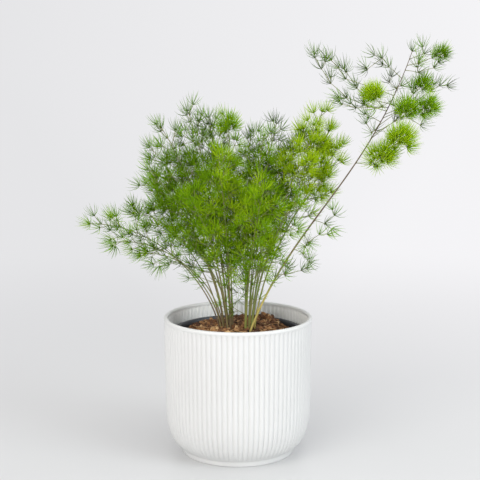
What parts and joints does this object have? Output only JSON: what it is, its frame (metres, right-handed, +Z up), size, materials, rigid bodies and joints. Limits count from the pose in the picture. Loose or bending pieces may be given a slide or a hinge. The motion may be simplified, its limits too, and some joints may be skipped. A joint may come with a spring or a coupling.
{
  "type": "potted asparagus umbellatus",
  "caption": "Bushy umbel asparagus with thin canes and tufts of needle-like leaves, rooted in soil in a nursery pot that stands in a ribbed white planter.",
  "frame": {"origin": "centre of the planter's foot, on the surface that it stands on", "axes": "+Z up; the front of the pot looks towards -Y; the long cane leans out towards +X"},
  "size_m": [0.3631, 0.1662, 0.4031],
  "materials": {
    "planter": "satin white",
    "nursery_pot": "dull charcoal",
    "soil": "loose coir and bark fibre, matt",
    "foliage": "fresh green stems and needles, slight sheen"
  },
  "bodies": {
    "root": {"planter": "planter", "nursery_pot": "nursery_pot", "soil": "soil", "cane_01": "foliage", "cane_02": "foliage", "cane_03": "foliage", "cane_04": "foliage", "cane_05": "foliage", "cane_06": "foliage", "cane_07": "foliage", "cane_08": "foliage", "cane_09": "foliage", "cane_10": "foliage", "cane_11": "foliage", "cane_12": "foliage", "cane_13": "foliage", "cane_14": "foliage", "cane_15": "foliage", "cane_16": "foliage", "cane_17": "foliage", "cane_18": "foliage", "cane_19": "foliage", "cane_20": "foliage", "cane_21": "foliage", "cane_22": "foliage", "cane_23": "foliage", "cane_24": "foliage", "cane_25": "foliage", "cane_26": "foliage", "cane_27": "foliage", "cane_28": "foliage", "cane_29": "foliage", "cane_30": "foliage", "cane_31": "foliage", "cane_32": "foliage", "cane_33": "foliage", "cane_long": "foliage"}
  },
  "joints": []
}
